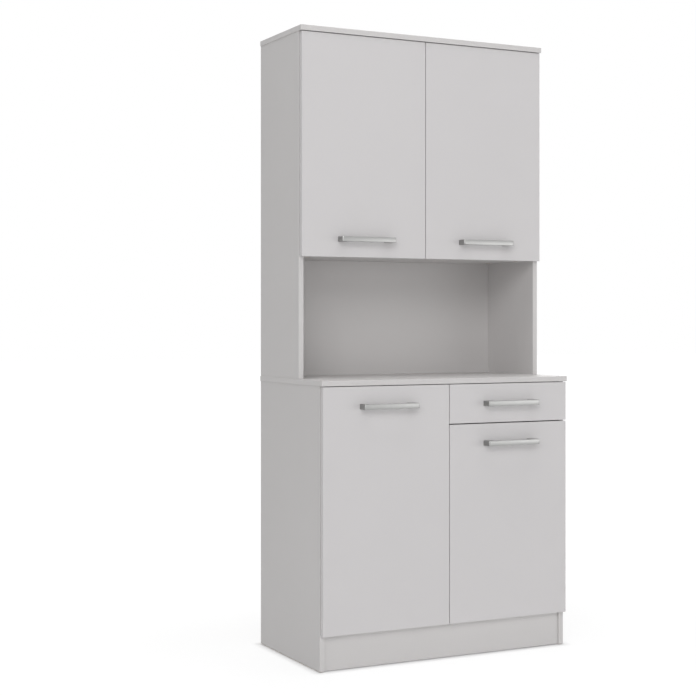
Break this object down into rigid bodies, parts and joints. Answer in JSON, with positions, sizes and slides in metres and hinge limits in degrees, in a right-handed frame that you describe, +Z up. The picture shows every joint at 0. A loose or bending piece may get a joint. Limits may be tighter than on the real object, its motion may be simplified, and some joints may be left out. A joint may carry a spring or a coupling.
{
  "type": "microwave cabinet",
  "caption": "Tall kitchen cabinet: base with doors and a drawer, worktop, open niche for a microwave oven, and a two-door upper cabinet.",
  "frame": {"origin": "on the floor, at the middle of the width and of the overall depth, handles included", "axes": "+X to the right seen from the front, -Y to the front, +Z up"},
  "size_m": [0.8, 0.451, 1.78],
  "materials": {
    "front_board": "matt light grey melamine faced board",
    "carcass_board": "matt light grey melamine faced board",
    "top_board": "matt light grey melamine faced board",
    "drawer_board": "matt light grey melamine faced board",
    "back_sheet": "painted hardboard",
    "handle_metal": "satin nickel",
    "nickel_steel": "nickel plated pressed steel",
    "zinc_screw": "zinc plated",
    "runner_steel": "white epoxy coat",
    "roller_nylon": "white nylon",
    "dowel_wood": "plain beech",
    "glide_plastic": "white polyethylene",
    "clear_bumper": "soft clear plastic"
  },
  "bodies": {
    "carcass": {"base_side_left": "carcass_board", "base_side_right": "carcass_board", "base_bottom": "carcass_board", "base_divider": "carcass_board", "plinth": "carcass_board", "countertop": "top_board", "base_back": "back_sheet", "base_shelf_left": "carcass_board", "base_shelf_right": "carcass_board", "hutch_side_left": "carcass_board", "hutch_side_right": "carcass_board", "hutch_bottom": "carcass_board", "hutch_top": "top_board", "hutch_shelf": "carcass_board", "hutch_back": "back_sheet", "shelf_pins": "nickel_steel", "floor_glides": "glide_plastic", "door_bumpers": "clear_bumper", "cam_locks": "nickel_steel", "cam_bolts": "zinc_screw", "panel_dowels": "dowel_wood", "confirmat_screws": "zinc_screw", "wall_brackets": "nickel_steel", "hinge_plates": "nickel_steel", "hinge_arms": "nickel_steel", "fixing_screws": "zinc_screw", "cabinet_runner_left": "runner_steel", "cabinet_runner_right": "runner_steel"},
    "cabinet_rollers": {"cabinet_rollers": "roller_nylon"},
    "drawer": {"drawer_front": "front_board", "drawer_side_left": "drawer_board", "drawer_side_right": "drawer_board", "drawer_back": "drawer_board", "drawer_bottom": "back_sheet", "drawer_runner_left": "runner_steel", "drawer_runner_right": "runner_steel", "drawer_handle": "handle_metal", "drawer_fixings": "zinc_screw"},
    "drawer_rollers": {"drawer_rollers": "roller_nylon"},
    "door_upper_left": {"door_upper_left": "front_board", "handle_upper_left": "handle_metal", "hinge_cups_upper_left": "nickel_steel", "hinge_pins_upper_left": "zinc_screw", "screws_upper_left": "zinc_screw"},
    "door_upper_right": {"door_upper_right": "front_board", "handle_upper_right": "handle_metal", "hinge_cups_upper_right": "nickel_steel", "hinge_pins_upper_right": "zinc_screw", "screws_upper_right": "zinc_screw"},
    "door_lower_left": {"door_lower_left": "front_board", "handle_lower_left": "handle_metal", "hinge_cups_lower_left": "nickel_steel", "hinge_pins_lower_left": "zinc_screw", "screws_lower_left": "zinc_screw"},
    "door_lower_right": {"door_lower_right": "front_board", "handle_lower_right": "handle_metal", "hinge_cups_lower_right": "nickel_steel", "hinge_pins_lower_right": "zinc_screw", "screws_lower_right": "zinc_screw"}
  },
  "joints": [
    {"name": "door_upper_left_hinge", "type": "hinge", "parent": "carcass", "child": "door_upper_left", "pos_m": [-0.39, -0.0517, 1.449], "axis": [0, 0, -1], "range_deg": [0, 95]},
    {"name": "door_upper_right_hinge", "type": "hinge", "parent": "carcass", "child": "door_upper_right", "pos_m": [0.39, -0.0517, 1.449], "axis": [0, 0, 1], "range_deg": [0, 95]},
    {"name": "door_lower_left_hinge", "type": "hinge", "parent": "carcass", "child": "door_lower_left", "pos_m": [-0.39, -0.1877, 0.437], "axis": [0, 0, -1], "range_deg": [0, 95]},
    {"name": "door_lower_right_hinge", "type": "hinge", "parent": "carcass", "child": "door_lower_right", "pos_m": [0.39, -0.1877, 0.38], "axis": [0, 0, 1], "range_deg": [0, 95]},
    {"name": "drawer_slide", "type": "slide", "parent": "carcass", "child": "drawer", "axis": [0, -1, 0], "range_m": [0, 0.26]},
    {"name": "cabinet_roller_spin", "type": "hinge", "parent": "carcass", "child": "cabinet_rollers", "pos_m": [0.19525, -0.1625, 0.6871], "axis": [1, 0, 0], "continuous": true},
    {"name": "drawer_roller_spin", "type": "hinge", "parent": "drawer", "child": "drawer_rollers", "pos_m": [0.19525, 0.1545, 0.6878], "axis": [1, 0, 0], "continuous": true}
  ],
  "couplings": [
    {"joint": "cabinet_roller_spin", "follows": "drawer_slide", "rad_per_m": 109.89},
    {"joint": "drawer_roller_spin", "follows": "drawer_slide", "rad_per_m": 100}
  ]
}
